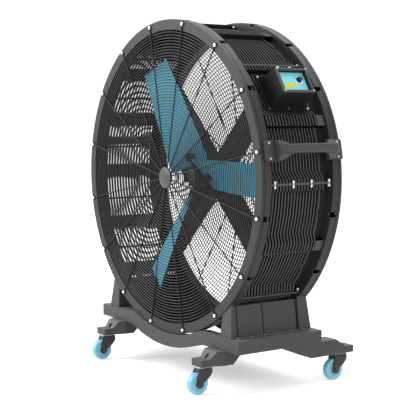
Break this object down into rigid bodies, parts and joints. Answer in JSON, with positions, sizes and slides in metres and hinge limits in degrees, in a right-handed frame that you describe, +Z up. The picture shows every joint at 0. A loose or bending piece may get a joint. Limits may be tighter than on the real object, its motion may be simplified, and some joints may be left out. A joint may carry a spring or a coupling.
{
  "type": "wheeled drum fan",
  "caption": "Large drum fan with a ribbed casing, wire guards, twisted blades, a control box and side handles, on a base that rolls on swivel castors.",
  "frame": {"origin": "centre of the part's box at floor level", "axes": "+Z up, +Y from the outlet guard towards the inlet guard, +X to the control box's side"},
  "size_m": [1.6304, 0.834, 1.6995],
  "materials": {
    "casing": "matte charcoal",
    "box_plastic": "matte charcoal",
    "panel_blue": "satin film",
    "blade_blue": "satin",
    "wheel_blue": "satin",
    "black_paint": "satin black",
    "motor_paint": "satin dark grey",
    "hub_metal": "satin dark grey",
    "cap_plastic": "satin grey",
    "steel": "zinc plated",
    "gland_chrome": "polished"
  },
  "bodies": {
    "frame": {"front_ring": "casing", "rear_ring": "casing", "base_front_beam": "casing", "base_rear_beam": "casing", "base_rail_left": "casing", "base_rail_right": "casing", "front_arm_left": "casing", "front_arm_right": "casing", "pillar_left": "casing", "pillar_right": "casing", "side_covers": "casing", "handle_left": "casing", "handle_right": "casing", "drum_panel_1": "casing", "drum_panel_2": "casing", "drum_panel_3": "casing", "drum_panel_4": "casing", "drum_panel_5": "casing", "drum_panel_6": "casing", "drum_panel_7": "casing", "drum_panel_8": "casing", "control_base": "box_plastic", "control_body": "box_plastic", "control_bezel": "box_plastic", "control_panel": "panel_blue", "front_guard_spokes": "black_paint", "rear_guard_spokes": "black_paint", "front_guard_rings": "black_paint", "rear_guard_rings": "black_paint", "motor_housing": "motor_paint", "motor_rear_cover": "motor_paint", "motor_strut_1": "motor_paint", "motor_strut_2": "motor_paint", "motor_strut_3": "motor_paint", "motor_strut_4": "motor_paint", "guard_caps": "cap_plastic", "guard_bolts": "steel", "seam_bolts": "steel", "frame_screws": "steel", "castor_stems": "steel", "motor_bearings": "steel", "stator_core": "steel", "cable_glands": "gland_chrome"},
    "rotor": {"motor_shaft": "steel", "rotor_hub": "hub_metal", "blade_1": "blade_blue", "blade_2": "blade_blue", "blade_3": "blade_blue", "blade_clamps": "hub_metal", "rotor_cap": "cap_plastic"},
    "knob": {"speed_knob": "box_plastic"},
    "fork_front_left": {"castor_fork_front_left": "black_paint"},
    "wheel_front_left": {"castor_wheel_front_left": "wheel_blue"},
    "fork_front_right": {"castor_fork_front_right": "black_paint"},
    "wheel_front_right": {"castor_wheel_front_right": "wheel_blue"},
    "fork_rear_left": {"castor_fork_rear_left": "black_paint"},
    "wheel_rear_left": {"castor_wheel_rear_left": "wheel_blue"},
    "fork_rear_right": {"castor_fork_rear_right": "black_paint"},
    "wheel_rear_right": {"castor_wheel_rear_right": "wheel_blue"}
  },
  "joints": [
    {"name": "rotor_spin", "type": "hinge", "parent": "frame", "child": "rotor", "pos_m": [0, -0.047, 0.9495], "axis": [0, 1, 0], "continuous": true},
    {"name": "swivel_front_left", "type": "hinge", "parent": "frame", "child": "fork_front_left", "pos_m": [-0.436, -0.335, 0.1125], "axis": [0, 0, 1], "continuous": true},
    {"name": "roll_front_left", "type": "hinge", "parent": "fork_front_left", "child": "wheel_front_left", "pos_m": [-0.436, -0.367, 0.05], "axis": [1, 0, 0], "continuous": true},
    {"name": "swivel_front_right", "type": "hinge", "parent": "frame", "child": "fork_front_right", "pos_m": [0.436, -0.335, 0.1125], "axis": [0, 0, 1], "continuous": true},
    {"name": "roll_front_right", "type": "hinge", "parent": "fork_front_right", "child": "wheel_front_right", "pos_m": [0.436, -0.367, 0.05], "axis": [1, 0, 0], "continuous": true},
    {"name": "swivel_rear_left", "type": "hinge", "parent": "frame", "child": "fork_rear_left", "pos_m": [-0.564, 0.354, 0.1125], "axis": [0, 0, 1], "continuous": true},
    {"name": "roll_rear_left", "type": "hinge", "parent": "fork_rear_left", "child": "wheel_rear_left", "pos_m": [-0.564, 0.322, 0.05], "axis": [1, 0, 0], "continuous": true},
    {"name": "swivel_rear_right", "type": "hinge", "parent": "frame", "child": "fork_rear_right", "pos_m": [0.564, 0.354, 0.1125], "axis": [0, 0, 1], "continuous": true},
    {"name": "roll_rear_right", "type": "hinge", "parent": "fork_rear_right", "child": "wheel_rear_right", "pos_m": [0.564, 0.322, 0.05], "axis": [1, 0, 0], "continuous": true},
    {"name": "speed_turn", "type": "hinge", "parent": "frame", "child": "knob", "pos_m": [0.68792, 0, 1.40146], "axis": [0.8443, 0, 0.5358], "range_deg": [-270, 0]}
  ]
}
